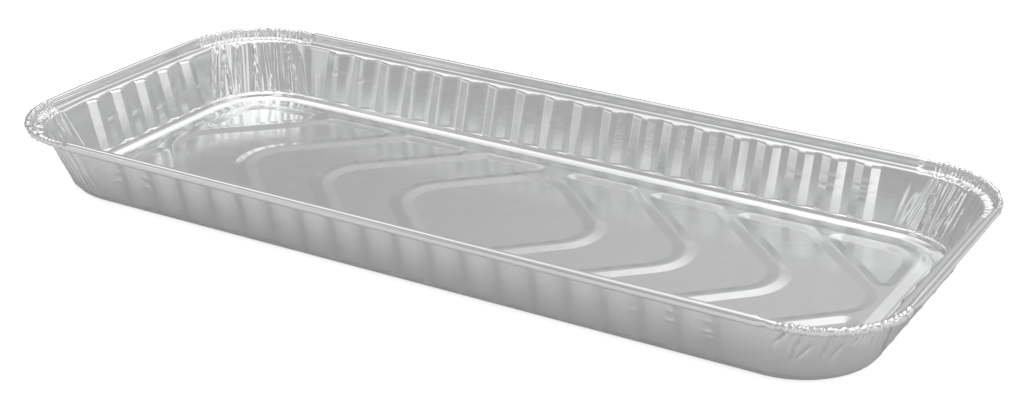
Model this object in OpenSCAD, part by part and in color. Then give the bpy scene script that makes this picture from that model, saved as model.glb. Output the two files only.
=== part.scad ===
// Oblong cake pan pressed from one sheet of aluminium foil.
// The origin is at the middle of the footprint, on the surface the pan stands on.
// X runs along the pan and Z is up.

/* [Overall] */
// Length over the rolled edge
pan_length = 311; // [260:1:420]
// Width over the rolled edge
pan_width = 137; // [110:1:220]
// Height from the surface to the top of the rolled edge
pan_height = 24.5; // [20:0.5:45]
// Radius of the rim's corners, seen from above
rim_corner = 30; // [26:1:36]
// Thickness of the foil
foil = 0.12; // [0.08:0.01:0.2]

/* [Rim] */
// Diameter of the rolled edge
roll_d = 2.8; // [2:0.1:4]
// How far round the foil is rolled, in degrees
roll_turn = 270; // [200:5:290]
// Width of the flat ledge between the wall and the roll
ledge_w = 3.4; // [2:0.1:6]
// Height of the roll's centre above the ledge
roll_rise = 2; // [1.6:0.1:3]

/* [Wall] */
// Lean of the wall from upright, in degrees
wall_lean = 15.4; // [8:0.1:24]
// Radius of the wall's corners where it meets the floor
foot_corner = 25.5; // [22:0.5:28]
// Radius of the fold between the wall and the floor
foot_fold = 3; // [2:0.5:5]
// Height of the plain band below the flutes
band_h = 2.4; // [2.2:0.1:6]
// Height over which a flute fades into the band below it
flute_run_in = 0.8; // [0.4:0.1:2]
// Height over which a flute fades into the ledge above it
flute_run_out = 1.5; // [0.6:0.1:3]

/* [Flutes] */
// Distance from one flute to the next along the long walls
flute_pitch = 11.7; // [10:0.1:12]
// Number of flutes in each long wall
flutes_long = 19; // [5:2:19]
// How far the long walls' flutes sit off the middle of the pan
flute_shift = -1.2; // [-3:0.1:3]
// Distance from one flute to the next along the short walls
flute_pitch_short = 12.3; // [10:0.1:12.6]
// Number of flutes in each short wall
flutes_short = 5; // [1:2:5]
// How far a flute stands in from the wall
flute_depth = 0.8; // [0.2:0.1:1.4]
// Width of a flute's flat face
flute_face = 2.7; // [1:0.1:3]
// Width of each sloping side of a flute
flute_side = 3.1; // [1:0.1:3.2]

/* [Corner gathers] */
// Number of pleats that gather the foil in each corner
pleats = 11; // [4:1:14]
// How far a pleat stands in from the corner's curve
pleat_depth = 0.55; // [0.1:0.05:0.9]
// How far a crimp presses the ledge down at the corners
crimp_drop = 0.3; // [0:0.05:0.5]
// How far a crimp squeezes the roll at the corners
crimp_squeeze = 0.22; // [0:0.02:0.4]

/* [Floor] */
// Height of the floor above the foot that the pan stands on
floor_rise = 1.8; // [1:0.1:3]
// Width of the foot between the wall's fold and the step up to the floor
foot_w = 1.8; // [1:0.1:4]
// Width of the step from the foot up to the floor
step_w = 2.4; // [1.5:0.1:4]

/* [Floor ribs] */
// Width of a rib
rib_w = 7.8; // [4:0.1:9]
// Height of a rib above the floor
rib_h = 0.6; // [0.3:0.05:1.2]
// Width of the flat crest of a rib
rib_crest = 1.0; // [0.4:0.1:2]
// Distance from the middle of the pan to the first chevron's point
chevron_first = 41; // [38:0.5:42]
// Distance from one chevron to the next
chevron_pitch = 32.3; // [30:0.1:33]
// Radius of a rib's bends, on its centre line
rib_bend = 16; // [12:0.5:18]
// Distance of the long border ribs from the pan's long middle line
border_y = 43.6; // [42:0.1:45]
// Distance of the short border ribs from the pan's short middle line
border_x = 132.3; // [130:0.1:133]
// Radius of the border's corners, on the rib's centre line
border_corner = 13; // [10:0.5:20]

/* [Hidden] */

lean = tan(wall_lean);
roll_r = roll_d / 2;
ledge_z = pan_height - roll_r - roll_rise;
wall_top_in = roll_d + ledge_w;

// Inset of the wall's inner face from the rolled edge, at height z
function wall_in(z) = wall_top_in + (ledge_z - z) * lean;

// The fold touches the wall and the foot at these heights and insets
fold_reach = foot_fold * tan((90 - wall_lean) / 2);
fold_top_z = foil + fold_reach * cos(wall_lean);
fold_mid_in = wall_in(foil) + fold_reach - foot_fold * sin(40);
fold_mid_z = foil + foot_fold * (1 - cos(40));
foot_out_in = wall_in(foil) + fold_reach;
foot_in_in = foot_out_in + foot_w;
floor_in = foot_in_in + step_w;
floor_top = floor_rise + foil;

// Radius of the pan's corner at an inset and a height
function corner_r(inset, z) =
    inset <= wall_top_in ? rim_corner - inset
    : inset <= wall_in(fold_top_z)
        ? let (share = (ledge_z - z) / ledge_z)
          (rim_corner - wall_top_in) * (1 - share) + foot_corner * share
        : foot_corner - (inset - wall_in(0));

// The roll starts on its inner side, goes over the top and curls in underneath
roll_steps = 6;
function roll_in(turn, r) = roll_r + r * cos(turn);
function roll_z(turn, r) = pan_height - roll_r + r * sin(turn);

// Each row of the section: inset, height, share of the flutes, share of the pleats, drop and
// squeeze of the crimps, and which places along the edge the row uses
FEW = 0;
RIM = 1;
ALL = 2;
TURN = 3;
function upper_rows() = concat([
    [floor_in, floor_top, 0, 0, 0, 0, TURN],
    [foot_in_in, foil, 0, 0, 0, 0, FEW],
    [foot_out_in, foil, 0, 0, 0, 0, FEW],
    [fold_mid_in, fold_mid_z, 0, 0, 0, 0, FEW],
    [wall_in(band_h), band_h, 0, 0.6, 0, 0, ALL],
    [wall_in(band_h + flute_run_in), band_h + flute_run_in, 1, 1, 0, 0, ALL],
    [wall_in(ledge_z - flute_run_out), ledge_z - flute_run_out, 1, 1, 0, 0, ALL],
    [wall_top_in, ledge_z, 0, 0.5, 1, 0, ALL],
    [roll_d, ledge_z, 0, 0, 0.6, 0, RIM]],
    [for (i = [0 : roll_steps])
        let (turn = roll_turn * i / roll_steps)
        [roll_in(turn, roll_r), roll_z(turn, roll_r), 0, 0, 0, 1, RIM]]);

// The underside follows the upper side, one thickness away
side_gap = foil / cos(wall_lean);
fold_gap = foil * (1 - sin(wall_lean)) / cos(wall_lean);
function lower_rows() = concat([
    [floor_in + foil * 0.6, floor_rise, 0, 0, 0, 0, TURN],
    [foot_in_in - foil * 0.3, 0, 0, 0, 0, 0, FEW],
    [foot_out_in, 0, 0, 0, 0, 0, FEW],
    [fold_mid_in - foil * sin(40), fold_mid_z - foil * cos(40), 0, 0, 0, 0, FEW],
    [wall_in(band_h) - side_gap, band_h, 0, 0.6, 0, 0, ALL],
    [wall_in(band_h + flute_run_in) - side_gap, band_h + flute_run_in, 1, 1, 0, 0, ALL],
    [wall_in(ledge_z - flute_run_out) - side_gap, ledge_z - flute_run_out, 1, 1, 0, 0, ALL],
    [wall_top_in - fold_gap, ledge_z - foil, 0, 0.5, 1, 0, ALL],
    [roll_d - foil, ledge_z - foil, 0, 0, 0.6, 0, RIM]],
    [for (i = [0 : roll_steps])
        let (turn = roll_turn * i / roll_steps)
        [roll_in(turn, roll_r - foil), roll_z(turn, roll_r - foil), 0, 0, 0, 1, RIM]]);

// Places along one straight side, as [kind, side, distance along, flute]
STRAIGHT = 0;
CORNER = 1;
function flute_places(side, n, pitch, shift) = [
    for (i = [0 : n - 1], edge = [-1.5, -0.5, 0.5, 1.5])
        let (
            middle = shift + (i - (n - 1) / 2) * pitch,
            away = sign(edge) * (flute_face / 2 + (abs(edge) > 1 ? flute_side : 0)))
        [STRAIGHT, side, middle + away, abs(edge) > 1 ? 0 : 1, i % 3 == 0 && edge < -1 ? 1 : 0]];

// Places round one corner, as [kind, side, angle, pleat]; the pleats are uneven, as hands see them
function uneven(i, side) = 0.5 + 0.5 * sin(i * 137 + side * 71);
corner_steps = pleats * 2;
function corner_places(side) = [
    for (i = [0 : corner_steps])
        let (
            ends = i == 0 || i == corner_steps,
            nudge = ends ? 0 : (uneven(i, side) - 0.5) * 28 / corner_steps,
            fold = ends || i % 2 == 0 ? 0 : 0.55 + 0.45 * uneven(i + 3, side))
        [CORNER, side, 90 * i / corner_steps + nudge, fold, i % 4 == 0 || ends ? 1 : 0]];

places = concat(
    flute_places(0, flutes_short, flute_pitch_short, 0), corner_places(0),
    flute_places(1, flutes_long, flute_pitch, -flute_shift), corner_places(1),
    flute_places(2, flutes_short, flute_pitch_short, 0), corner_places(2),
    flute_places(3, flutes_long, flute_pitch, flute_shift), corner_places(3));

function half_out(side) = (side % 2 == 0 ? pan_length : pan_width) / 2;
function half_along(side) = (side % 2 == 0 ? pan_width : pan_length) / 2;

// Point of one row at one place, before it is turned to its side
function local_point(p, row) =
    p[0] == STRAIGHT
        ? [half_out(p[1]) - row[0] - p[3] * row[2] * flute_depth, p[2], row[1]]
        : let (
            inset = row[0] + p[3] * row[3] * pleat_depth,
            r = corner_r(row[0], row[1]) - p[3] * row[3] * pleat_depth,
            squeeze = p[3] * row[5] * crimp_squeeze,
            middle = pan_height - roll_r,
            z = row[1] - p[3] * row[4] * crimp_drop - (row[1] - middle) * squeeze,
            keep = corner_r(row[0], row[1]) + row[0])
          [half_out(p[1]) - keep + (r - squeeze * roll_r * 0.5) * cos(p[2]),
           half_along(p[1]) - keep + (r - squeeze * roll_r * 0.5) * sin(p[2]), z];
function turned(v, side) =
    side == 0 ? v
    : side == 1 ? [-v[1], v[0], v[2]]
    : side == 2 ? [-v[0], -v[1], v[2]]
    : [v[1], -v[0], v[2]];
function row_point(p, row) = turned(local_point(p, row), p[1]);

// A row uses all places, the corners with a few of the straights' places, a few of both, or only
// a few of the corners'
function used(p, kind) =
    kind == ALL || (kind == RIM && p[0] == CORNER)
    || (p[4] == 1 && (kind != TURN || p[0] == CORNER));
function picks(kind) = [for (i = [0 : len(places) - 1]) if (used(places[i], kind)) i];
PICKS = [picks(FEW), picks(RIM), picks(ALL), picks(TURN)];
function count(kind) = len(PICKS[kind]);

// Number of the used place at or before every place, for joining rows of different kinds
function last_used(kind) = [
    for (i = 0, n = used(places[0], kind) ? 0 : count(kind) - 1; i < len(places);
         i = i + 1, n = i < len(places) && used(places[i], kind) ? (n + 1) % count(kind) : n) n];
LAST = [last_used(FEW), last_used(RIM), last_used(ALL), last_used(TURN)];

rows = concat(upper_rows(), [for (i = [len(lower_rows()) - 1 : -1 : 0]) lower_rows()[i]]);
function start_of(j, k = 0, sum = 0) = k == j ? sum : start_of(j, k + 1, sum + count(rows[k][6]));
STARTS = [for (j = [0 : len(rows) - 1]) start_of(j)];
shell_points = [for (row = rows, i = PICKS[row[6]]) row_point(places[i], row)];

// Faces between row j and row k, wherever either of them moves on to its next place
function between(j, k) = [
    for (i = [0 : len(places) - 1])
        let (
            n = (i + 1) % len(places),
            a = STARTS[j] + LAST[rows[j][6]][i], b = STARTS[j] + LAST[rows[j][6]][n],
            c = STARTS[k] + LAST[rows[k][6]][i], d = STARTS[k] + LAST[rows[k][6]][n],
            faces = concat(c != d ? [[a, d, c]] : [], a != b ? [[a, b, d]] : []))
        each faces];
function ring(j) = [for (i = [0 : count(rows[j][6]) - 1]) STARTS[j] + i];
function reversed(list) = [for (i = [len(list) - 1 : -1 : 0]) list[i]];
// The foot's flat upper side comes first, because nothing of the pan stands over it or leans in front
// of it, and then the rest from the floor out to the roll and back
FOOT_ROW = 1;
shell_faces = concat(
    between(FOOT_ROW, FOOT_ROW + 1),
    [for (j = [0 : len(rows) - 2]) if (j != FOOT_ROW) each between(j, j + 1)],
    [reversed(ring(0)), ring(len(rows) - 1)]);

module sheet() {
    polyhedron(shell_points, shell_faces, convexity = 12);
}

// Section of a rib, as [distance to the left of its centre line, height]; the upper rib stands on the
// floor and the lower one hollows it from below
function rib_section(hollow) =
    let (
        level = hollow ? floor_rise : floor_top,
        root = level - foil * 0.6,
        top = level + rib_h,
        foot = rib_crest / 2 + (top - root) * (rib_w - rib_crest) / 2 / rib_h)
    [[foot, root], [rib_crest / 2, top], [-rib_crest / 2, top], [-foot, root]];

// Points of a bend's centre line, from one angle through another
bend_steps = 8;
function bend(middle, radius, from, turn) = [
    for (i = [0 : bend_steps])
        let (a = from + turn * i / bend_steps)
        middle + radius * [cos(a), sin(a)]];

// Left normal of a step of a path, and the mitre at a point between two steps
function left_of(a, b) = [a[1] - b[1], b[0] - a[0]] / norm(b - a);
function mitre(path, i, closed) =
    let (
        n = len(path),
        here = path[i],
        before = closed || i > 0 ? left_of(path[(i + n - 1) % n], here) : undef,
        after = closed || i < n - 1 ? left_of(here, path[(i + 1) % n]) : undef)
    is_undef(before) ? after : is_undef(after) ? before : (before + after) / (1 + before * after);

// Rib along a path, mitred at every point
module rib(path, closed, hollow) {
    n = len(path);
    section = rib_section(hollow);
    points = [
        for (i = [0 : n - 1], s = section)
            let (at = path[i] + mitre(path, i, closed) * s[0])
            [at[0], at[1], s[1]]];
    sides = [
        for (i = [0 : closed ? n - 1 : n - 2], k = [0 : 3])
            let (j = (i + 1) % n, m = (k + 1) % 4)
            [i * 4 + k, j * 4 + k, j * 4 + m, i * 4 + m]];
    ends = closed ? [] : [[0, 1, 2, 3], [n * 4 - 1, n * 4 - 2, n * 4 - 3, n * 4 - 4]];
    polyhedron(points, concat(sides, ends), convexity = 6);
}

// The middle chevrons close into a diamond with four rounded points
function diamond_path() = [
    for (a = [0, 90, 180, 270])
        each bend((chevron_first - rib_bend * sqrt(2)) * [cos(a), sin(a)], rib_bend, a - 45, 90)];

// Chevron that points along +X, with arms at 45 degrees that end under the border ribs
function chevron_path(point) = concat(
    [[point - border_y, -border_y]],
    bend([point - rib_bend * sqrt(2), 0], rib_bend, -45, 90),
    [[point - border_y, border_y]]);

// The border is a rounded rectangle
function border_path() = [
    for (k = [0 : 3])
        let (side = [k == 0 || k == 3 ? 1 : -1, k < 2 ? 1 : -1])
        each bend([side[0] * (border_x - border_corner), side[1] * (border_y - border_corner)],
            border_corner, 90 * k, 90)];

module ribs(hollow) {
    rib(diamond_path(), true, hollow);
    for (i = [1 : 3], turn = [0, 180])
        rotate([0, 0, turn]) rib(chevron_path(chevron_first + i * chevron_pitch), false, hollow);
    rib(border_path(), true, hollow);
}

module pan() {
    color([0.78, 0.79, 0.8])
        difference() {
            union() {
                sheet();
                ribs(false);
            }
            ribs(true);
        }
}

pan();
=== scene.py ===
# %% [markdown]
# # Foil oblong cake pan
# A shallow baking pan, pressed in one stroke from a thin sheet of aluminium foil. The die folds the
# sheet up into a fluted wall, gathers it in the four corners, and curls its edge into a roll.
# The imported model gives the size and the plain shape. This script makes the sheet that is seen.

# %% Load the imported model
import math

import bmesh
import bpy
import numpy as np
from mathutils import Matrix, Vector
from mathutils.geometry import delaunay_2d_cdt


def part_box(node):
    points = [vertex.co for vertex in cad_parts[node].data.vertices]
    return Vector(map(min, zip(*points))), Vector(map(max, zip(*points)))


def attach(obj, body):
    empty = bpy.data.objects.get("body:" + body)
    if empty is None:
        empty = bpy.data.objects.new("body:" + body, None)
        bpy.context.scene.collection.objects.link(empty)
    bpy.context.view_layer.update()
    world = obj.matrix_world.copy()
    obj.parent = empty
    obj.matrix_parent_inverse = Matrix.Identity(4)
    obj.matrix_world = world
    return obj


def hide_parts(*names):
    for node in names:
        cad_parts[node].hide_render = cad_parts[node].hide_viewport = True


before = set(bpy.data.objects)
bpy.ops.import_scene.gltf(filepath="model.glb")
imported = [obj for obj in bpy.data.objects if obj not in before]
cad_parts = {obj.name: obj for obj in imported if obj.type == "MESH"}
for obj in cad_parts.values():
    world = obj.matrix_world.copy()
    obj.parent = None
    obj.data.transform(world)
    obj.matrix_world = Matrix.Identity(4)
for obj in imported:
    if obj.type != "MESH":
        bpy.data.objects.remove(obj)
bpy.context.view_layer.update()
low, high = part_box("pan")
LENGTH, WIDTH, HEIGHT = [(high[i] - low[i]) * 1000 for i in range(3)]
print(f"pan {LENGTH:.1f} x {WIDTH:.1f} x {HEIGHT:.1f} mm")

# %% [markdown]
# ## The section of the sheet
# A die maker draws the section first: a floor raised a little above a narrow foot, a step down to
# the foot, a short riser, a wall that leans out, a flat ledge and the roll. Each point of it has an
# inset, measured in from the roll's outer side, and a height. Everything here is in millimetres.

# %% Sizes of the section
FOIL = 0.12
# The roll: half its width, half its height, and how far round it turns, in degrees
ROLL_WIDE, ROLL_HIGH, ROLL_TURN = 1.4, 1.62, 270
LEDGE_Z, WALL_TOP_IN = 21.1, 6.2
WALL_LEAN = 15.4
LEAN = math.tan(math.radians(WALL_LEAN))
LEAN_ANGLE = 90 - WALL_LEAN
SHOULDER = 1.2
FLOOR_Z = 1.92
FOOT_OUT, FOOT_IN, FLOOR_IN = 14.3, 16.06, 18.46
WALL_FOOT_Z, WALL_FOOT_CORNER, RISER_IN = 2.7, 25.28, 12.02
RIM_CORNER, FOOT_CORNER = 30.0, 25.5


def wall_in(z):
    """Inset of the wall's inner face at height z."""
    return WALL_TOP_IN + (LEDGE_Z - z) * LEAN


def corner_radius(inset, z):
    """Radius of the pan's corner at an inset and a height."""
    if inset <= WALL_TOP_IN:
        return RIM_CORNER - inset
    if z < WALL_FOOT_Z:
        return min(FOOT_CORNER - (inset - wall_in(0)), WALL_FOOT_CORNER)
    share = (LEDGE_Z - z) / LEDGE_Z
    return (RIM_CORNER - WALL_TOP_IN) * (1 - share) + FOOT_CORNER * share


print(f"foot ring {FOOT_OUT:.2f} to {FOOT_IN:.2f} mm in, floor from {FLOOR_IN:.2f} mm")

# %% [markdown]
# ## Places round the edge
# The sheet goes round four straight sides and four corners. A place is a number: its whole part says
# which of the eight stretches it is on, and its fraction how far along. Sides are numbered from the
# right, counterclockwise: right, back, left, front. Flutes need places at their edges, gathers need
# many, and the plain parts need few, so each band of the sheet has its own list.

# %% Places along the sides and round the corners
FLUTE_PITCH, FLUTE_PITCH_SHORT = 11.7, 12.4
FLUTE_DEPTH, FLUTE_FACE = 0.78, 2.5
# Width of a flute's flat sides, and how far its row is off the middle, for each side of the pan
FLUTE_SIDE = [3.8, 3.3, 3.8, 3.3]
FLUTE_SHIFT = [-2.6, -0.9, 2.6, -2.2]
# Half the width of a flute's bends, where its face meets its sides
FLUTE_BEND = 0.28
BASE_CORNER = FOOT_CORNER + wall_in(0)
HALF = [LENGTH / 2, WIDTH / 2]
SIDE_REACH = [WIDTH / 2 - BASE_CORNER, LENGTH / 2 - BASE_CORNER]
# Distance from the middle of a side to the end of its flutes
FLUTED = [33.2, 111.5]


def flutes_of(side):
    """Where the flutes of a side are, along X or Y."""
    if side % 2:
        return [FLUTE_SHIFT[side] + FLUTE_PITCH * k for k in range(-9, 10)]
    return [FLUTE_SHIFT[side] + FLUTE_PITCH_SHORT * k for k in range(-2, 3)]


def flute_edges(side):
    """Spots where the flutes of a side bend."""
    centres = flutes_of(side)
    half, foot = FLUTE_FACE / 2, FLUTE_FACE / 2 + FLUTE_SIDE[side]
    away = [0, half - FLUTE_BEND, half + FLUTE_BEND, foot - FLUTE_BEND, foot + FLUTE_BEND]
    return sorted({c + s * a for c in centres for a in away for s in (-1, 1)})


def side_keys(side, spots):
    """Places on a straight side, from spots measured along X or Y."""
    reach = SIDE_REACH[side % 2]
    forward = 1 if side in (0, 3) else -1
    along = [forward * s for s in spots if abs(s) < reach]
    return sorted(2 * side + (a / reach + 1) / 2 for a in along)


def corner_keys(side, count):
    """Places round the corner that follows a side."""
    return [2 * side + 1 + i / count for i in range(count + 1)]


def plain_spots(side, step):
    """Spots between the last flute and the corner."""
    start, stop = FLUTED[side % 2], SIDE_REACH[side % 2]
    n = max(1, round((stop - start) / step))
    out = [start + (stop - start) * i / n for i in range(n)]
    return [s * o for o in out for s in (-1, 1)]


def even_spots(side, step):
    """Evenly spaced spots on a side."""
    reach = SIDE_REACH[side % 2]
    n = round(2 * reach / step)
    return [-reach + 2 * reach * i / n for i in range(1, n)]


def all_keys(spots, corner_count):
    """All the places of a band: spots(side) gives those on a side."""
    keys = []
    for side in range(4):
        keys += side_keys(side, spots(side)) + corner_keys(side, corner_count)
    return np.array(keys)


def wall_spots(side):
    return flute_edges(side) + plain_spots(side, 0.8)


# Numbers are the step on the sides in millimetres, and the count of places round a corner
BASE_KEYS = all_keys(lambda side: even_spots(side, 6.0), 30)
WALL_KEYS = all_keys(wall_spots, 84)
RIM_KEYS = all_keys(lambda side: even_spots(side, 7.0) + plain_spots(side, 0.6)[2:], 120)
print(f"places: base {len(BASE_KEYS)}, wall {len(WALL_KEYS)}, rim {len(RIM_KEYS)}")

# %% [markdown]
# ## From a place to a point
# Along a straight side a flute must stand upright, so its place keeps the same distance from the
# middle at every height. Between the last flute and the corner the places spread out, because the
# corner's centre moves outward with height.


# %% Point of a place on a row of the section
def on_straight(keys):
    return (np.floor(keys) % 2) == 0


def spot_of(keys, inset, z):
    """Distance along the side from its middle, which has no meaning in the corners."""
    side = (np.floor(keys) // 2).astype(int)
    part = keys - np.floor(keys)
    half = np.array(HALF)[(side + 1) % 2]
    reach = np.array(SIDE_REACH)[side % 2]
    fluted = np.array(FLUTED)[side % 2]
    start = half - corner_radius(inset, z) - inset
    ref = (part * 2 - 1) * reach
    spread = fluted + (np.abs(ref) - fluted) * (start - fluted) / (reach - fluted)
    return np.where(np.abs(ref) <= fluted, ref, np.sign(ref) * spread)


def points_of(keys, inset, z, push, lift):
    """Points of one row: push moves the sheet inward from the row, and lift moves it up."""
    side = (np.floor(keys) // 2).astype(int)
    part = keys - np.floor(keys)
    out = np.array(HALF)[side % 2]
    half = np.array(HALF)[(side + 1) % 2]
    radius = corner_radius(inset, z)
    keep = radius + inset
    angle = part * math.pi / 2
    straight = on_straight(keys)
    x = np.where(straight, out - inset - push, out - keep + (radius - push) * np.cos(angle))
    y = np.where(straight, spot_of(keys, inset, z), half - keep + (radius - push) * np.sin(angle))
    turn = side * math.pi / 2
    c, s = np.round(np.cos(turn)), np.round(np.sin(turn))
    return np.stack([c * x - s * y, s * x + c * y, z + lift + 0 * x], axis=1)


def edge_distance(keys, inset, z, radius):
    """Distance along the edge from the middle of the nearest corner, and that corner's number."""
    seg = np.floor(keys).astype(int)
    part = keys - seg
    side = seg // 2
    arc = radius * math.pi / 4
    spot = spot_of(keys, inset, z)
    start = np.array(HALF)[(side + 1) % 2] - corner_radius(inset, z) - inset
    straight = seg % 2 == 0
    away = np.where(straight, arc + start - np.abs(spot), (part * 2 - 1) * arc)
    away = np.where(straight & (spot > 0), -away, away)
    corner = np.where(straight & (spot <= 0), (side + 3) % 4, side)
    return away, corner


# %% [markdown]
# ## Flutes
# A flute is a shallow pleat with a flat face and two flat sides, pressed in from the wall. It runs
# up from the riser and is closed at the top by a slanting cap, so that a wavy line is left under the
# ledge. The cap and the foot come by themselves when the depth is the least of three: the flute's
# own, that of the cap's slope, and the room there is above the riser. No two flutes are quite alike.

# %% Depth of the flutes
rng = np.random.default_rng(11)
CAP_TOP, CAP_SLOPE = 20.85, 0.80
# How much deeper each flute is than the rest, as a share, and how far its top strays sideways
FLUTE_TRIM = rng.normal(0, 0.05, (4, 19))
FLUTE_STRAY = rng.normal(0, 0.12, (4, 19))


def side_and_spot(keys, z):
    """The side of each place, and where it is along X or Y on the wall at a height."""
    side = (np.floor(keys) // 2).astype(int)
    spot = spot_of(keys, wall_in(z), z)
    return side, np.where(side % 3 == 0, spot, -spot)


def trapeze(d, width):
    """Depth share of a flute at a distance from its middle, with its edges softened."""
    soft = [-0.24, -0.12, 0, 0.12, 0.24]
    total = 0
    for o in soft:
        total = total + np.clip((FLUTE_FACE / 2 + width - np.abs(d + o)) / width, 0, 1)
    return total / len(soft)


def flute_push(keys, inset, z):
    side, spot = side_and_spot(keys, z)
    push = np.zeros(len(keys))
    for s in range(4):
        here = on_straight(keys) & (side == s)
        for k, c in enumerate(flutes_of(s)):
            depth = FLUTE_DEPTH * (1 + FLUTE_TRIM[s, k])
            stray = FLUTE_STRAY[s, k] * (z / LEDGE_Z)
            shape = depth * trapeze(spot - c - stray, FLUTE_SIDE[s])
            push = np.where(here, np.maximum(push, shape), push)
    cap = np.clip((CAP_TOP - z) * CAP_SLOPE, 0, None)
    return np.minimum(push, min(cap, RISER_IN - inset))


# %% [markdown]
# ## Dents
# Near the ends of the walls the foil was stretched hard, and the flutes carry small dents, one over
# another. Each is an oval pushed outward by a few tenths of a millimetre.

# %% Dents of the flutes
DENT_LONG, DENT_HIGH = 0.95, 0.45
DENTS = [
    # side, distance along X or Y, height, depth
    (3, -107.0, 14.4, 0.30), (3, -107.3, 10.9, 0.45),
    (3, -95.4, 14.9, 0.40), (3, -95.7, 11.3, 0.45), (3, -95.2, 9.9, 0.40), (3, -83.6, 10.9, 0.30),
    (3, 103.4, 15.2, 0.40), (3, 103.0, 11.4, 0.45), (3, 103.5, 9.4, 0.35),
    (3, 91.6, 15.4, 0.35), (3, 91.3, 11.9, 0.40), (3, 79.6, 12.4, 0.25),
    (1, 104.5, 14.9, 0.30), (1, 104.2, 12.9, 0.24), (1, 104.6, 11.4, 0.28), (1, 104.3, 9.9, 0.18),
    (1, 92.8, 14.4, 0.24), (1, 92.5, 10.9, 0.28), (1, 80.9, 12.4, 0.15),
    (1, -106.0, 13.4, 0.30), (1, -94.4, 12.4, 0.28),
    (2, -17.2, 11.5, 0.22), (2, -5.2, 10.0, 0.28), (2, -7.6, 9.2, 0.18), (2, 5.3, 12.2, 0.22),
    (2, 7.2, 8.4, 0.25), (2, 15.3, 12.1, 0.22), (2, 19.6, 9.2, 0.18), (2, 27.8, 9.6, 0.22),
    (0, 22.2, 14.4, 0.25), (0, 9.8, 12.4, 0.25), (0, -2.6, 13.4, 0.25), (0, -27.4, 11.4, 0.25),
]


def dent_push(keys, z):
    side, spot = side_and_spot(keys, z)
    push = np.zeros(len(keys))
    for s, at, height, depth in DENTS:
        if abs(z - height) < 2:
            near = np.exp(-((spot - at) / DENT_LONG) ** 2 - ((z - height) / DENT_HIGH) ** 2)
            push -= np.where(on_straight(keys) & (side == s), depth * near, 0)
    return push


# %% [markdown]
# ## Gathered corners
# A flat sheet has too much foil for a corner, so it gathers into uneven pleats. Each pleat rises
# slowly on one side and drops sharply on the other, leans a little, and dies out towards the foot.
# The front right corner is smoother than the others and has a few sharp creases instead.

# %% Pleats of the corners
# How far the pleats reach from a corner's middle, and the radius that distances round it are taken at
PLEAT_REACH, PLEAT_RADIUS = 22.5, 24.5
FRONT_RIGHT = 3
CREASE_DEPTH, CREASE_WIDTH = 1.1, 0.5
SWELL_HEIGHT, SWELL_WIDTH = 0.25, 1.8
# The sharp creases: place along the edge, height of the deepest point, lean with height, and length
CREASES = [(-17.5, 17.0, 0.35, 3.2), (-12.7, 13.0, 0.05, 4.2), (-10.2, 11.8, 0.45, 2.8),
           (-4.2, 13.8, 0.12, 3.8), (-1.2, 11.6, 0.45, 3.2), (4.5, 16.6, 0.30, 2.4),
           (6.4, 16.0, 0.40, 2.8), (8.6, 16.4, 0.30, 2.6), (15.8, 17.0, -0.25, 3.0)]


def make_pleats(corner):
    gen = np.random.default_rng(40 + corner)
    pleats, at = [], -PLEAT_REACH + 0.8
    strong = 0.45 if corner == FRONT_RIGHT else 1.0
    while at < PLEAT_REACH - 0.5:
        pleats.append({
            "at": at, "width": gen.uniform(0.9, 2.0), "depth": strong * gen.uniform(0.25, 0.75),
            "lean": gen.uniform(-1.5, 1.5), "hand": gen.choice([-1, 1]),
            "foot": gen.uniform(0.5, 1.0), "peak": gen.uniform(5, 17)})
        at += gen.uniform(1.5, 2.9)
    return pleats


PLEATS = [make_pleats(c) for c in range(4)]
STREAKS = [np.random.default_rng(60 + c).normal(0, 1, (4, 160)) for c in range(4)]


def smooth_step(x):
    """From 0 to 1, starting and ending gently."""
    x = np.clip(x, 0, 1)
    return x * x * (3 - 2 * x)


def streak(corner, layer, where):
    """Smooth random value along the edge."""
    at = np.clip(where + 70, 0, 157)
    i = np.floor(at).astype(int)
    f = smooth_step(at - i)
    row = STREAKS[corner][layer]
    return row[i] * (1 - f) + row[i + 1] * f


def crease_push(away, z):
    """Sharp creases: the sheet is pinched inward along a line, and swells outward beside it."""
    push = 0 * away
    for at, height, lean, length in CREASES:
        d = away - at - lean * (z - height)
        reach = math.exp(-((z - height) / length) ** 4)
        pinch = CREASE_DEPTH * reach * np.exp(-np.abs(d) / CREASE_WIDTH)
        push = push + pinch - SWELL_HEIGHT * reach * np.exp(-(d / SWELL_WIDTH) ** 2)
    return push


def pleat_push(keys, inset, z):
    """Depth of the pleats, with fine unevenness over them."""
    away, corner = edge_distance(keys, inset, z, PLEAT_RADIUS)
    push = np.zeros(len(keys))
    # Nothing at the foot, and the full depth from 4 mm up
    rise = smooth_step((z - 0.6) / 3.5)
    for c in range(4):
        here = corner == c
        for p in PLEATS[c]:
            u = (away - p["at"] - p["lean"] * (z - 11) / 10) / p["width"] * p["hand"]
            shape = np.where(u < 0, 1 + u, 1 - u / 0.35)
            tall = np.exp(-((z - p["peak"]) / 10.0) ** 2)
            size = p["depth"] * rise * (p["foot"] + (1 - p["foot"]) * tall)
            push += np.where(here, np.clip(shape, 0, 1) * size, 0)
        fine = streak(c, 0, away * 1.3 + z * 0.07) * 0.06
        fine = fine + streak(c, 1, away * 2.4 - z * 0.12) * 0.05
        push += np.where(here, fine * rise * (0.5 if c == FRONT_RIGHT else 1), 0)
    # The pleats end gently where the straight walls begin
    push = push * smooth_step((PLEAT_REACH + 2.0 - np.abs(away)) / 3.0)
    return push + np.where(corner == FRONT_RIGHT, crease_push(away, z), 0)


# %% [markdown]
# ## Crimped rim
# At the corners the curled edge is too long as well, so the tool crimps it: small grooves, less
# than 2 mm apart, run across the ledge and over the roll. They are uneven and a little slanted.

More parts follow.
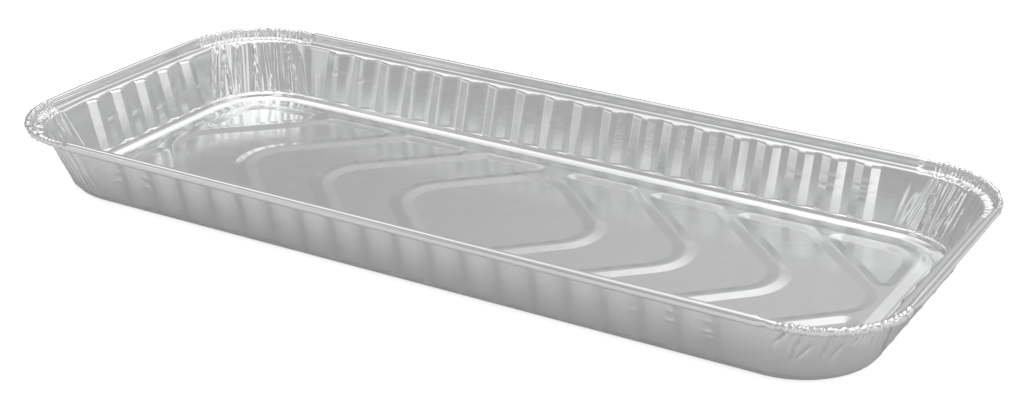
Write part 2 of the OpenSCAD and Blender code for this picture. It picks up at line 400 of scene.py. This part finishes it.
# %% Crimps of the roll and ledge
# How far the crimps reach from a corner's middle, and the radius that distances round it are taken at
CRIMP_REACH, CRIMP_RADIUS = 26.8, 29.0
CRIMP_WIDTH = 0.48
# How deep a crimp goes in the rim, and inward and downward in the top of the wall, as shares
CRIMP_RIM, CRIMP_IN, CRIMP_DOWN = 0.55, 0.3, 0.35


def make_crimps(corner):
    gen = np.random.default_rng(80 + corner)
    at, crimps = -CRIMP_REACH + 0.3, []
    while at < CRIMP_REACH:
        crimps.append((at, gen.uniform(0.6, 1.1), gen.uniform(-1.6, 1.6)))
        at += gen.uniform(1.15, 2.0)
    return crimps


CRIMPS = [make_crimps(c) for c in range(4)]


def crimp_depth(keys, inset, z, across):
    """How deep the crimps are at a distance across the edge, from the wall's top outward."""
    away, corner = edge_distance(keys, inset, z, CRIMP_RADIUS)
    depth = np.zeros(len(keys))
    for c in range(4):
        here = corner == c
        for at, size, slant in CRIMPS[c]:
            d = np.abs(away - at - slant * 0.14 * (across - 4))
            groove = size * np.exp(-(d / CRIMP_WIDTH) ** 1.5)
            depth = np.where(here, np.maximum(depth, groove), depth)
        rough = streak(c, 2, away * 1.9 + across * 0.6) * 0.22
        rough = rough + streak(c, 3, away * 1.1 - across * 0.9) * 0.15
        depth = np.where(here, depth + rough, depth)
    return np.clip(depth + 0.25, 0, 1.5) * smooth_step((CRIMP_REACH + 0.5 - np.abs(away)) / 0.8)


# %% [markdown]
# ## Pressing a band of the sheet
# A band starts as a flat grid, one column for each place and one row for each point of the section.
# Its points are then moved to where the die would press them, and its two ends are joined.


# %% Helpers for bands
def only(obj):
    bpy.ops.object.select_all(action="DESELECT")
    obj.select_set(True)
    bpy.context.view_layer.objects.active = obj


def flat_grid(name, columns, rows):
    bpy.ops.object.select_all(action="DESELECT")
    bpy.ops.mesh.primitive_grid_add(x_subdivisions=columns - 1, y_subdivisions=rows - 1, size=2)
    grid = bpy.context.object
    grid.name = name
    return grid


def pressed_band(name, keys, rows, shape):
    """A band of the sheet: shape(keys, row) gives the points of each row, in millimetres."""
    closed = np.append(keys, keys[0])
    grid = flat_grid(name, len(closed), len(rows))
    points = np.concatenate([shape(closed, row) for row in rows])
    grid.data.vertices.foreach_set("co", (points * 0.001).ravel())
    grid.data.update()
    print(f"{name}: {len(closed)} x {len(rows)} points")
    return grid


# %% [markdown]
# ## Base, wall and rim
# The base band holds the step, the foot and the riser. The wall band holds the flutes and pleats,
# with rows close together where the caps and the dents are. The rim band holds the ledge and roll.


# %% Base band
# The pleats start just below the riser: rows further in than this have none
PLEATED_FROM = 13


def base_rows():
    """Insets and heights, from the floor's edge down the step, over the foot and up the riser."""
    step = [(0, 1.0), (0.14, 0.985), (0.28, 0.87), (0.5, 0.5), (0.72, 0.13), (0.86, 0.015), (1, 0)]
    rows = [(FLOOR_IN + (FOOT_IN - FLOOR_IN) * t, FOIL + (FLOOR_Z - FOIL) * h) for t, h in step]
    # The foot, the slope behind it, and the riser up to the small ledge where the wall begins
    rows += [(15.0, FOIL), (FOOT_OUT, 0.16), (13.8, 0.38), (12.65, 1.06), (12.36, 1.32),
             (12.24, 1.6), (12.08, 2.1), (12.0, 2.35)]
    return rows


def base_shape(keys, row):
    inset, z = row
    push = pleat_push(keys, inset, z) if inset < PLEATED_FROM else np.zeros(len(keys))
    return points_of(keys, inset, z, push, 0)


base = pressed_band("base_band", BASE_KEYS, base_rows(), base_shape)


# %% Wall band
def wall_rows():
    """Insets and heights, up the wall and round the shoulder onto the ledge."""
    heights = [2.9, 3.3, 3.7, 4.2, 5.5, 7.0, 8.3]
    heights += [8.9 + 0.5 * i for i in range(15)] + [17.0, 18.2, 19.0, 19.4, 19.8]
    rows = [(11.8, 2.5), (11.45, 2.62)] + [(wall_in(z), z) for z in heights]
    start = WALL_TOP_IN - SHOULDER * math.tan(math.radians(LEAN_ANGLE / 2))
    for share in (0.92, 0.75, 0.58, 0.42, 0.28, 0.14, 0):
        tilt = math.radians(LEAN_ANGLE * share)
        rows.append((start + SHOULDER * math.sin(tilt), LEDGE_Z - SHOULDER * (1 - math.cos(tilt))))
    return rows


def wall_shape(keys, row):
    inset, z = row
    # Towards the ledge the crimps take over from the pleats
    top = float(smooth_step((z - 18.8) / 2.2))
    crimp = crimp_depth(keys, inset, z, 0) * top
    push = flute_push(keys, inset, z) + dent_push(keys, z)
    push = push + pleat_push(keys, inset, z) * (1 - 0.75 * top) + CRIMP_IN * crimp
    return points_of(keys, inset, z, push, -CRIMP_DOWN * crimp)


wall = pressed_band("wall_band", WALL_KEYS, wall_rows(), wall_shape)


# %% Rim band
def rim_rows():
    """Inset, height, direction to press a crimp in, and distance across the edge."""
    down = -math.pi / 2
    rows = [(4.6, LEDGE_Z, down, 1.2), (3.9, LEDGE_Z, down, 1.9), (3.4, LEDGE_Z + 0.02, down, 2.4),
            (3.12, LEDGE_Z + 0.13, down, 2.8), (2.96, LEDGE_Z + 0.38, down * 1.5, 3.1)]
    middle = HEIGHT - ROLL_HIGH
    for i in range(15):
        turn = math.radians(-14 + (ROLL_TURN + 4) * i / 14)
        rows.append((ROLL_WIDE + ROLL_WIDE * math.cos(turn), middle + ROLL_HIGH * math.sin(turn),
                     turn + math.pi, 3.6 + 0.42 * i))
    return rows


def rim_shape(keys, row):
    inset, z, way, across = row
    depth = crimp_depth(keys, inset, z, across) * CRIMP_RIM
    return points_of(keys, inset, z, depth * math.cos(way), depth * math.sin(way))


rim = pressed_band("rim_band", RIM_KEYS, rim_rows(), rim_shape)

# %% [markdown]
# ## Floor ribs
# The floor is stiffened by low ribs: a border, a diamond in the middle, and nested chevrons that
# point to the ends. The die maker cuts what lies between the ribs: flat pockets with rounded corners
# and sloping sides. So each pocket is drawn here, and the ribs are what stands between the pockets.

# %% Pockets between the ribs
RIB_HIGH, RIB_CREST, RIB_SIDE = 0.62, 1.0, 3.4
RIB_BEND, POCKET_ROUND = 16.0, 4.0
CHEVRON_FIRST, CHEVRON_PITCH = 41.0, 32.3
BORDER_X, BORDER_Y, BORDER_CORNER = 132.3, 43.6, 13.0
INSIDE = RIB_CREST / 2 + POCKET_ROUND


def bend(x, y, radius, start, turn, steps):
    """Points of an arc: its centre, radius, first angle and turn in degrees."""
    angles = np.radians(start + turn * np.arange(steps + 1) / steps)
    return [(x + radius * math.cos(a), y + radius * math.sin(a)) for a in angles]


def chevron_side(point, inside):
    """One side of a chevron, from the lower border to the upper one."""
    top = BORDER_Y - INSIDE
    tip = point - inside * math.sqrt(2)
    curve = bend(point - RIB_BEND * math.sqrt(2), 0, RIB_BEND - inside, -45, 90, 16)
    return [(tip - top, -top)] + curve + [(tip - top, top)]


def pockets():
    """Outlines of the pockets, drawn smaller by the radius that rounds their corners."""
    out = []
    arm = CHEVRON_FIRST - RIB_BEND * math.sqrt(2)
    diamond = []
    for k, (c, s) in enumerate([(1, 0), (0, 1), (-1, 0), (0, -1)]):
        diamond += bend(arm * c, arm * s, RIB_BEND - INSIDE, 90 * k - 45, 90, 14)
    out.append(diamond)
    tips = [CHEVRON_FIRST + CHEVRON_PITCH * i for i in range(4)]
    half_side = [chevron_side(q, INSIDE)[::-1] + chevron_side(p, -INSIDE)
                 for p, q in zip(tips, tips[1:])]
    top, end = BORDER_Y - INSIDE, BORDER_X - INSIDE
    radius = BORDER_CORNER - INSIDE
    slant = tips[3] + INSIDE * math.sqrt(2)
    triangle = [(slant - top, top), (end, slant - end)]
    triangle += bend(end - radius, top - radius, radius, 0, 90, 6)
    half_side += [triangle, [(x, -y) for x, y in triangle]]
    for flip in (1, -1):
        out += [[(flip * x, y) for x, y in outline] for outline in half_side]
    return out


def counterclockwise(outline):
    pts = np.array(outline)
    after = np.roll(pts, -1, axis=0)
    area = (pts[:, 0] * after[:, 1] - after[:, 0] * pts[:, 1]).sum()
    return pts if area > 0 else pts[::-1]


POCKETS = [counterclockwise(p) for p in pockets()]
BORDER = []
for k, (sx, sy) in enumerate([(1, 1), (-1, 1), (-1, -1), (1, -1)]):
    BORDER += bend(sx * (BORDER_X - BORDER_CORNER), sy * (BORDER_Y - BORDER_CORNER),
                   BORDER_CORNER, 90 * k, 90, 9)
BORDER = np.array(BORDER)
print(f"{len(POCKETS)} pockets")


# %% Height of the floor
def away_from(x, y, outline):
    """Distance from a closed outline: nothing inside it."""
    best = np.full(len(x), 1e9)
    inside = np.zeros(len(x), bool)
    for (ax, ay), (bx, by) in zip(outline, np.roll(outline, -1, axis=0)):
        dx, dy = bx - ax, by - ay
        t = np.clip(((x - ax) * dx + (y - ay) * dy) / (dx * dx + dy * dy), 0, 1)
        best = np.minimum(best, np.hypot(x - ax - t * dx, y - ay - t * dy))
        if ay != by:
            inside ^= ((ay > y) != (by > y)) & (x < ax + (y - ay) * dx / dy)
    return np.where(inside, 0, best)


def soft_ramp(d, start, width):
    """From 0 to 1 over a width, with the two edges a little rounded."""
    return sum(np.clip((d + o - start) / width, 0, 1) for o in (-0.2, -0.1, 0, 0.1, 0.2)) / 5


def floor_height(x, y):
    nearest = np.full(len(x), 1e9)
    for outline in POCKETS:
        nearest = np.minimum(nearest, away_from(x, y, outline))
    share = soft_ramp(nearest, POCKET_ROUND - RIB_SIDE, RIB_SIDE)
    share = share * (1 - soft_ramp(away_from(x, y, BORDER), RIB_CREST / 2, RIB_SIDE))
    # The plain part sags a little between the edges
    radius = corner_radius(FLOOR_IN, FLOOR_Z)
    qx = np.abs(x) - (HALF[0] - FLOOR_IN - radius)
    qy = np.abs(y) - (HALF[1] - FLOOR_IN - radius)
    edge = radius - np.hypot(np.maximum(qx, 0), np.maximum(qy, 0))
    edge = edge - np.minimum(np.maximum(qx, qy), 0)
    sag = 0.10 * np.sin(x / 31 + 0.6) * np.cos(y / 23 - 0.4) + 0.06 * np.sin(x / 13 + y / 17)
    return FLOOR_Z + RIB_HIGH * share + sag * smooth_step(edge / 14)


# %% [markdown]
# ## The floor's sheet
# A plain grid would blur the ribs, so the floor is cut along lines that run round every pocket, at
# the foot and the crest of its sides. A constrained triangulation does that in one go, which
# straight cuts can't do along curves. Each point then gets its height.


# %% Floor mesh
# Half the width of a rib's bends, the longest step along a line, and the grid between the lines
SOFT_EDGE, LONGEST, SAG_STEP = 0.2, 8.0, 5.5


def grown(outline, by):
    """An outline moved outward, with arcs at its sharp corners."""
    out = []
    n = len(outline)
    for i in range(n):
        d1, d2 = outline[i] - outline[i - 1], outline[(i + 1) % n] - outline[i]
        a1, a2 = math.atan2(-d1[0], d1[1]), math.atan2(-d2[0], d2[1])
        turn = (a2 - a1 + math.pi) % (2 * math.pi) - math.pi
        steps = max(1, round(turn / 0.26)) if turn > 0.35 else 0
        if steps:
            angles = [a1 + turn * k / steps for k in range(steps + 1)]
            out += [outline[i] + by * np.array([math.cos(a), math.sin(a)]) for a in angles]
        else:
            a = a1 + turn / 2
            out.append(outline[i] + by / math.cos(turn / 2) * np.array([math.cos(a), math.sin(a)]))
    return np.array(out)


def cut_long(points, longest):
    """Adds points to a closed line so that no step of it is long."""
    out = []
    for a, b in zip(points, np.roll(points, -1, axis=0)):
        steps = max(1, math.ceil(np.hypot(*(b - a)) / longest))
        out += [a + (b - a) * k / steps for k in range(steps)]
    return out


def floor_mesh():
    edge = points_of(BASE_KEYS, FLOOR_IN, FLOOR_Z, np.zeros(len(BASE_KEYS)), 0)[:, :2]
    verts = [tuple(p) for p in edge]
    edges = []
    # A slope needs two lines at its foot and two at its crest, so that both bends are a little round
    slopes = [(p, POCKET_ROUND - RIB_SIDE) for p in POCKETS] + [(BORDER, RIB_CREST / 2)]
    lines = [grown(p, at + RIB_SIDE * share + side) for p, at in slopes
             for share in (0, 1) for side in (-SOFT_EDGE, SOFT_EDGE)]
    for line in lines:
        path = cut_long(line, LONGEST)
        start, n = len(verts), len(path)
        verts += [tuple(p) for p in path]
        edges += [(start + i, start + (i + 1) % n) for i in range(n)]
    # Points between the lines for the sag, a little out of line with everything else
    for x in np.arange(-132, 133, SAG_STEP):
        for y in np.arange(-46, 47, SAG_STEP):
            verts.append((x + 0.013 * y, y + 0.011 * x))
    flat = [Vector(v) for v in verts]
    loop = [list(range(len(edge)))]
    co, _, faces, _, _, _ = delaunay_2d_cdt(flat, edges, loop, 1, 1e-4)
    co = np.array([(v.x, v.y) for v in co])
    z = floor_height(co[:, 0], co[:, 1])
    points = np.column_stack([co, z]) * 0.001
    mesh = bpy.data.meshes.new("floor_band")
    mesh.from_pydata(points.tolist(), [], [list(f) for f in faces])
    mesh.validate()
    print(f"floor: {len(co)} points, {len(faces)} faces")
    return mesh


floor_piece = bpy.data.objects.new("floor_band", floor_mesh())
bpy.context.scene.collection.objects.link(floor_piece)

# %% [markdown]
# ## Joining the bands into one sheet
# The bands have different numbers of places, so the gap between two of them is closed with
# triangles: it steps along whichever side is behind. Then the floor, the base, the wall and the rim
# are one sheet, and Solidify gives it the foil's thickness.


# %% Join and close
def loop_of(start, keys):
    """A ring of the sheet: the place and the point number of each of its points."""
    return [(float(k), start + i) for i, k in enumerate(keys)]


def stitches(lower, upper):
    """Triangles between two rings of (place, point number)."""
    faces = []
    i = j = 0
    a, b = len(lower), len(upper)
    while i < a or j < b:
        next_low = lower[i + 1][0] if i + 1 < a else 8 + (lower[0][0] if i + 1 == a else 99)
        next_up = upper[j + 1][0] if j + 1 < b else 8 + (upper[0][0] if j + 1 == b else 99)
        low_now, up_now = lower[i % a][1], upper[j % b][1]
        if j >= b or (i < a and next_low <= next_up):
            faces.append((low_now, lower[(i + 1) % a][1], up_now))
            i += 1
        else:
            faces.append((low_now, upper[(j + 1) % b][1], up_now))
            j += 1
    return faces


def join_bands(parts):
    only(parts[0])
    for p in parts:
        p.select_set(True)
    bpy.ops.object.join()
    return bpy.context.object


counts = [len(BASE_KEYS) + 1, len(WALL_KEYS) + 1, len(RIM_KEYS) + 1]
base_top = (len(base_rows()) - 1) * counts[0]
wall_start = len(base.data.vertices)
wall_top = wall_start + (len(wall_rows()) - 1) * counts[1]
rim_start = wall_start + len(wall.data.vertices)
sheet = join_bands([base, wall, rim, floor_piece])
sheet.name = "foil_pan"

bm = bmesh.new()
bm.from_mesh(sheet.data)
bm.verts.ensure_lookup_table()
seams = [(loop_of(base_top, BASE_KEYS), loop_of(wall_start, WALL_KEYS)),
         (loop_of(wall_top, WALL_KEYS), loop_of(rim_start, RIM_KEYS))]
for lower, upper in seams:
    for face in stitches(lower, upper):
        bm.faces.new([bm.verts[i] for i in face])
bm.to_mesh(sheet.data)
bm.free()

only(sheet)
bpy.ops.object.mode_set(mode="EDIT")
bpy.ops.mesh.select_all(action="SELECT")
bpy.ops.mesh.remove_doubles(threshold=2e-6)
bpy.ops.mesh.normals_make_consistent(inside=False)
bpy.ops.object.mode_set(mode="OBJECT")
middle_face = min(sheet.data.polygons, key=lambda f: f.center.xy.length)
if middle_face.normal.z < 0:
    bpy.ops.object.mode_set(mode="EDIT")
    bpy.ops.mesh.flip_normals()
    bpy.ops.object.mode_set(mode="OBJECT")
bm = bmesh.new()
bm.from_mesh(sheet.data)
open_edges = sum(len(e.link_faces) != 2 for e in bm.edges)
bm.free()
print(f"sheet: {len(sheet.data.polygons)} faces, {open_edges} edges at the free edge")

# %% Thickness and smoothness
only(sheet)
solid = sheet.modifiers.new("thickness", "SOLIDIFY")
solid.thickness = FOIL * 0.001
solid.offset = -1
solid.use_even_offset = False
bpy.ops.object.modifier_apply(modifier="thickness")
bpy.ops.object.shade_smooth_by_angle(angle=math.radians(50))
# Large faces keep their own direction, and the narrow strips between them do the turning
crisp = sheet.modifiers.new("crisp", "WEIGHTED_NORMAL")
crisp.keep_sharp = True
bpy.ops.object.modifier_apply(modifier="crisp")
triangles = sum(len(p.vertices) - 2 for p in sheet.data.polygons)
print(f"foil pan: {triangles} triangles")

# %% [markdown]
# ## Foil
# Foil pans are of rolled aluminium, about 0.1 mm thick. The rolls leave fine lines along the sheet,
# and pressing leaves it a little uneven, so its reflections are soft and streaky. Fine noise drawn
# out along the pan makes the lines, and coarse noise the unevenness. Both only touch the surface.


# %% Material helpers
def linear(hex_colour):
    """A colour written as sRGB hex, in the linear values that shaders take."""
    out = []
    for i in (1, 3, 5):
        c = int(hex_colour[i:i + 2], 16) / 255
        out.append(c / 12.92 if c <= 0.04045 else ((c + 0.055) / 1.055) ** 2.4)
    return (*out, 1.0)


def add(tree, kind, settings=(), links=()):
    """Adds a node with its settings and its links, and returns it."""
    node = tree.nodes.new(kind)
    for name, value in dict(settings).items():
        if isinstance(name, str) and hasattr(node, name):
            setattr(node, name, value)
        else:
            node.inputs[name].default_value = value
    for name, source in dict(links).items():
        tree.links.new(source, node.inputs[name])
    return node


# %% Rolled aluminium foil
def foil_material():
    """Bare rolled aluminium: bright, slightly rough, and drawn out along the rolling lines."""
    mat = bpy.data.materials.new("rolled_aluminium_foil")
    mat.use_nodes = True
    tree = mat.node_tree
    shader = tree.nodes["Principled BSDF"]
    shader.inputs["Metallic"].default_value = 1.0
    place = add(tree, "ShaderNodeTexCoord").outputs["Object"]
    # Rolling lines run along X, some 40 mm long and 0.7 mm apart: 25 and 1400 to a metre
    rolled = add(tree, "ShaderNodeMapping", {"Scale": (25, 1400, 1400)}, {"Vector": place})
    lines = add(tree, "ShaderNodeTexNoise", {"Scale": 1.0, "Detail": 2.0},
                {"Vector": rolled.outputs[0]}).outputs["Fac"]
    # The sheet is uneven over about 6 mm where it was pressed: 160 to a metre
    uneven = add(tree, "ShaderNodeTexNoise", {"Scale": 160.0, "Detail": 3.0},
                 {"Vector": place}).outputs["Fac"]
    rough = add(tree, "ShaderNodeMapRange", {"From Min": 0.3, "From Max": 0.7, "To Min": 0.11,
                                             "To Max": 0.19}, {"Value": lines})
    tree.links.new(rough.outputs[0], shader.inputs["Roughness"])
    # The lines scatter light mostly across themselves, along Y
    across = add(tree, "ShaderNodeCombineXYZ", {"X": 0.0, "Y": 1.0, "Z": 0.0})
    shader.inputs["Anisotropic"].default_value = 0.5
    tree.links.new(across.outputs[0], shader.inputs["Tangent"])
    tone = add(tree, "ShaderNodeMix", {"data_type": "RGBA"})
    tone.inputs[6].default_value = linear("#EDEEEF")
    tone.inputs[7].default_value = linear("#F7F7F7")
    tree.links.new(uneven, tone.inputs[0])
    tree.links.new(tone.outputs[2], shader.inputs["Base Color"])
    bump_fine = add(tree, "ShaderNodeBump", {"Strength": 0.10, "Distance": 0.00002},
                    {"Height": lines})
    bump = add(tree, "ShaderNodeBump", {"Strength": 0.25, "Distance": 0.00012},
               {"Height": uneven, "Normal": bump_fine.outputs[0]})
    tree.links.new(bump.outputs[0], shader.inputs["Normal"])
    return mat


sheet.data.materials.clear()
sheet.data.materials.append(foil_material())
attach(sheet, "root")
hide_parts("pan")
print(f"{sheet.name} is of {sheet.data.materials[0].name}")

# %% [markdown]
# ## Floor, light and camera
# The pan stands on a plain white table. Shiny foil shows the room rather than itself, so the light
# is a photographer's tent: an even level all round, with wide soft lights overhead, behind, at both
# sides and low in front. The camera sees plain white behind the pan. The foil sees the tent, because
# its flutes and ribs would vanish if it were white all round.


# %% Table
def table_material():
    """Matt white paper. A little glow that only the camera sees makes it as white as the backdrop."""
    mat = bpy.data.materials.new("white_table")
    mat.use_nodes = True
    tree = mat.node_tree
    out = tree.nodes["Material Output"]
    tree.nodes.remove(tree.nodes["Principled BSDF"])
    plain = add(tree, "ShaderNodeBsdfDiffuse", {"Color": linear("#E6E6E6")})
    glow = add(tree, "ShaderNodeEmission", {"Strength": 0.70})
    both = add(tree, "ShaderNodeAddShader", {}, {0: plain.outputs[0], 1: glow.outputs[0]})
    ray = add(tree, "ShaderNodeLightPath")
    mixed = add(tree, "ShaderNodeMixShader", {},
                {0: ray.outputs["Is Camera Ray"], 1: plain.outputs[0], 2: both.outputs[0]})
    tree.links.new(mixed.outputs[0], out.inputs["Surface"])
    return mat


bpy.ops.mesh.primitive_plane_add(size=14, location=(0, 0, 0))
table = bpy.context.object
table.name = "table"
table.data.materials.append(table_material())


# %% Light tent
TENT_LEVEL = 0.42
# Soft lights: bearing from the back toward the right, height, the angles from its middle where it
# ends and where it is full, and its strength
SOFT_LIGHTS = [
    (-9, 71, 34, 5, 0.45), (-140, 76, 30, 8, 0.55), (110, 64, 41, 6, 0.75), (3, 36, 43, 8, 0.17),
    (0, 43, 20, 9, 0.35), (-92, 50, 17, 4, 0.75), (-137, 14, 15, 4, 0.42), (55, 21, 13, 5, 1.2),
    (-174, 63, 54, 8, 0.10), (84, 7, 31, 14, 0.50), (160, 8, 20, 13, 0.62)]


def light_tent():
    world = bpy.data.worlds.new("light_tent")
    bpy.context.scene.world = world
    world.use_nodes = True
    tree = world.node_tree
    tree.nodes.clear()
    out = add(tree, "ShaderNodeOutputWorld")
    way = add(tree, "ShaderNodeTexCoord").outputs["Generated"]
    level = None
    for bearing, height, ends, full, strength in SOFT_LIGHTS:
        a, e = math.radians(bearing), math.radians(height)
        middle = (math.sin(a) * math.cos(e), math.cos(a) * math.cos(e), math.sin(e))
        dot = add(tree, "ShaderNodeVectorMath", {"operation": "DOT_PRODUCT", 1: middle}, {0: way})
        lobe = add(tree, "ShaderNodeMapRange",
                   {"interpolation_type": "SMOOTHSTEP", "From Min": math.cos(math.radians(ends)),
                    "From Max": math.cos(math.radians(full)), "To Min": 0.0, "To Max": strength},
                   {"Value": dot.outputs["Value"]})
        if level is None:
            level = lobe.outputs[0]
        else:
            level = add(tree, "ShaderNodeMath", {"operation": "ADD"},
                        {0: level, 1: lobe.outputs[0]}).outputs[0]
    level = add(tree, "ShaderNodeMath", {"operation": "ADD", 1: TENT_LEVEL}, {0: level}).outputs[0]
    tent = add(tree, "ShaderNodeBackground", {"Color": (1, 1, 1, 1)}, {"Strength": level})
    white = add(tree, "ShaderNodeBackground", {"Color": (1, 1, 1, 1), "Strength": 1.0})
    ray = add(tree, "ShaderNodeLightPath")
    seen = add(tree, "ShaderNodeMath", {"operation": "MAXIMUM"},
               {0: ray.outputs["Is Camera Ray"], 1: ray.outputs["Is Transmission Ray"]})
    mixed = add(tree, "ShaderNodeMixShader", {},
                {0: seen.outputs[0], 1: tent.outputs[0], 2: white.outputs[0]})
    tree.links.new(mixed.outputs[0], out.inputs["Surface"])


light_tent()
print(f"light tent with {len(SOFT_LIGHTS)} soft lights")

# %% [markdown]
# ## Camera
# The camera stands at the front right and looks down at 23 degrees. Its place and lens were worked
# out from the pan's own corners, and its lens axis is right of the picture's middle.

# %% Camera
IMAGE_WIDTH = 1024
AXIS_X = 600
FOCAL_PX = 1883.4
SENSOR = 36
TURN, RISE, ROLL = math.radians(27.306), math.radians(23.025), math.radians(1.670)
TARGET = Vector((0.0215, 0.0314, 0.0))
DISTANCE = 0.6352
back = Vector((math.sin(TURN) * math.cos(RISE), -math.cos(TURN) * math.cos(RISE), math.sin(RISE)))
right = Vector((math.cos(TURN), math.sin(TURN), 0))
up = back.cross(right)
rolled_right = math.cos(ROLL) * right + math.sin(ROLL) * up
rolled_up = -math.sin(ROLL) * right + math.cos(ROLL) * up
camera_data = bpy.data.cameras.new("camera")
camera = bpy.data.objects.new("camera", camera_data)
bpy.context.scene.collection.objects.link(camera)
turned = Matrix((rolled_right, rolled_up, back)).transposed()
camera.matrix_world = Matrix.Translation(TARGET + back * DISTANCE) @ turned.to_4x4()
camera_data.sensor_width = SENSOR
camera_data.lens = FOCAL_PX / IMAGE_WIDTH * SENSOR
camera_data.shift_x = (IMAGE_WIDTH / 2 - AXIS_X) / IMAGE_WIDTH
camera_data.clip_start, camera_data.clip_end = 0.01, 50
bpy.context.scene.camera = camera
bpy.context.scene.view_settings.view_transform = "Standard"
print(f"camera {camera_data.lens:.1f} mm, {DISTANCE:.3f} m from the pan")
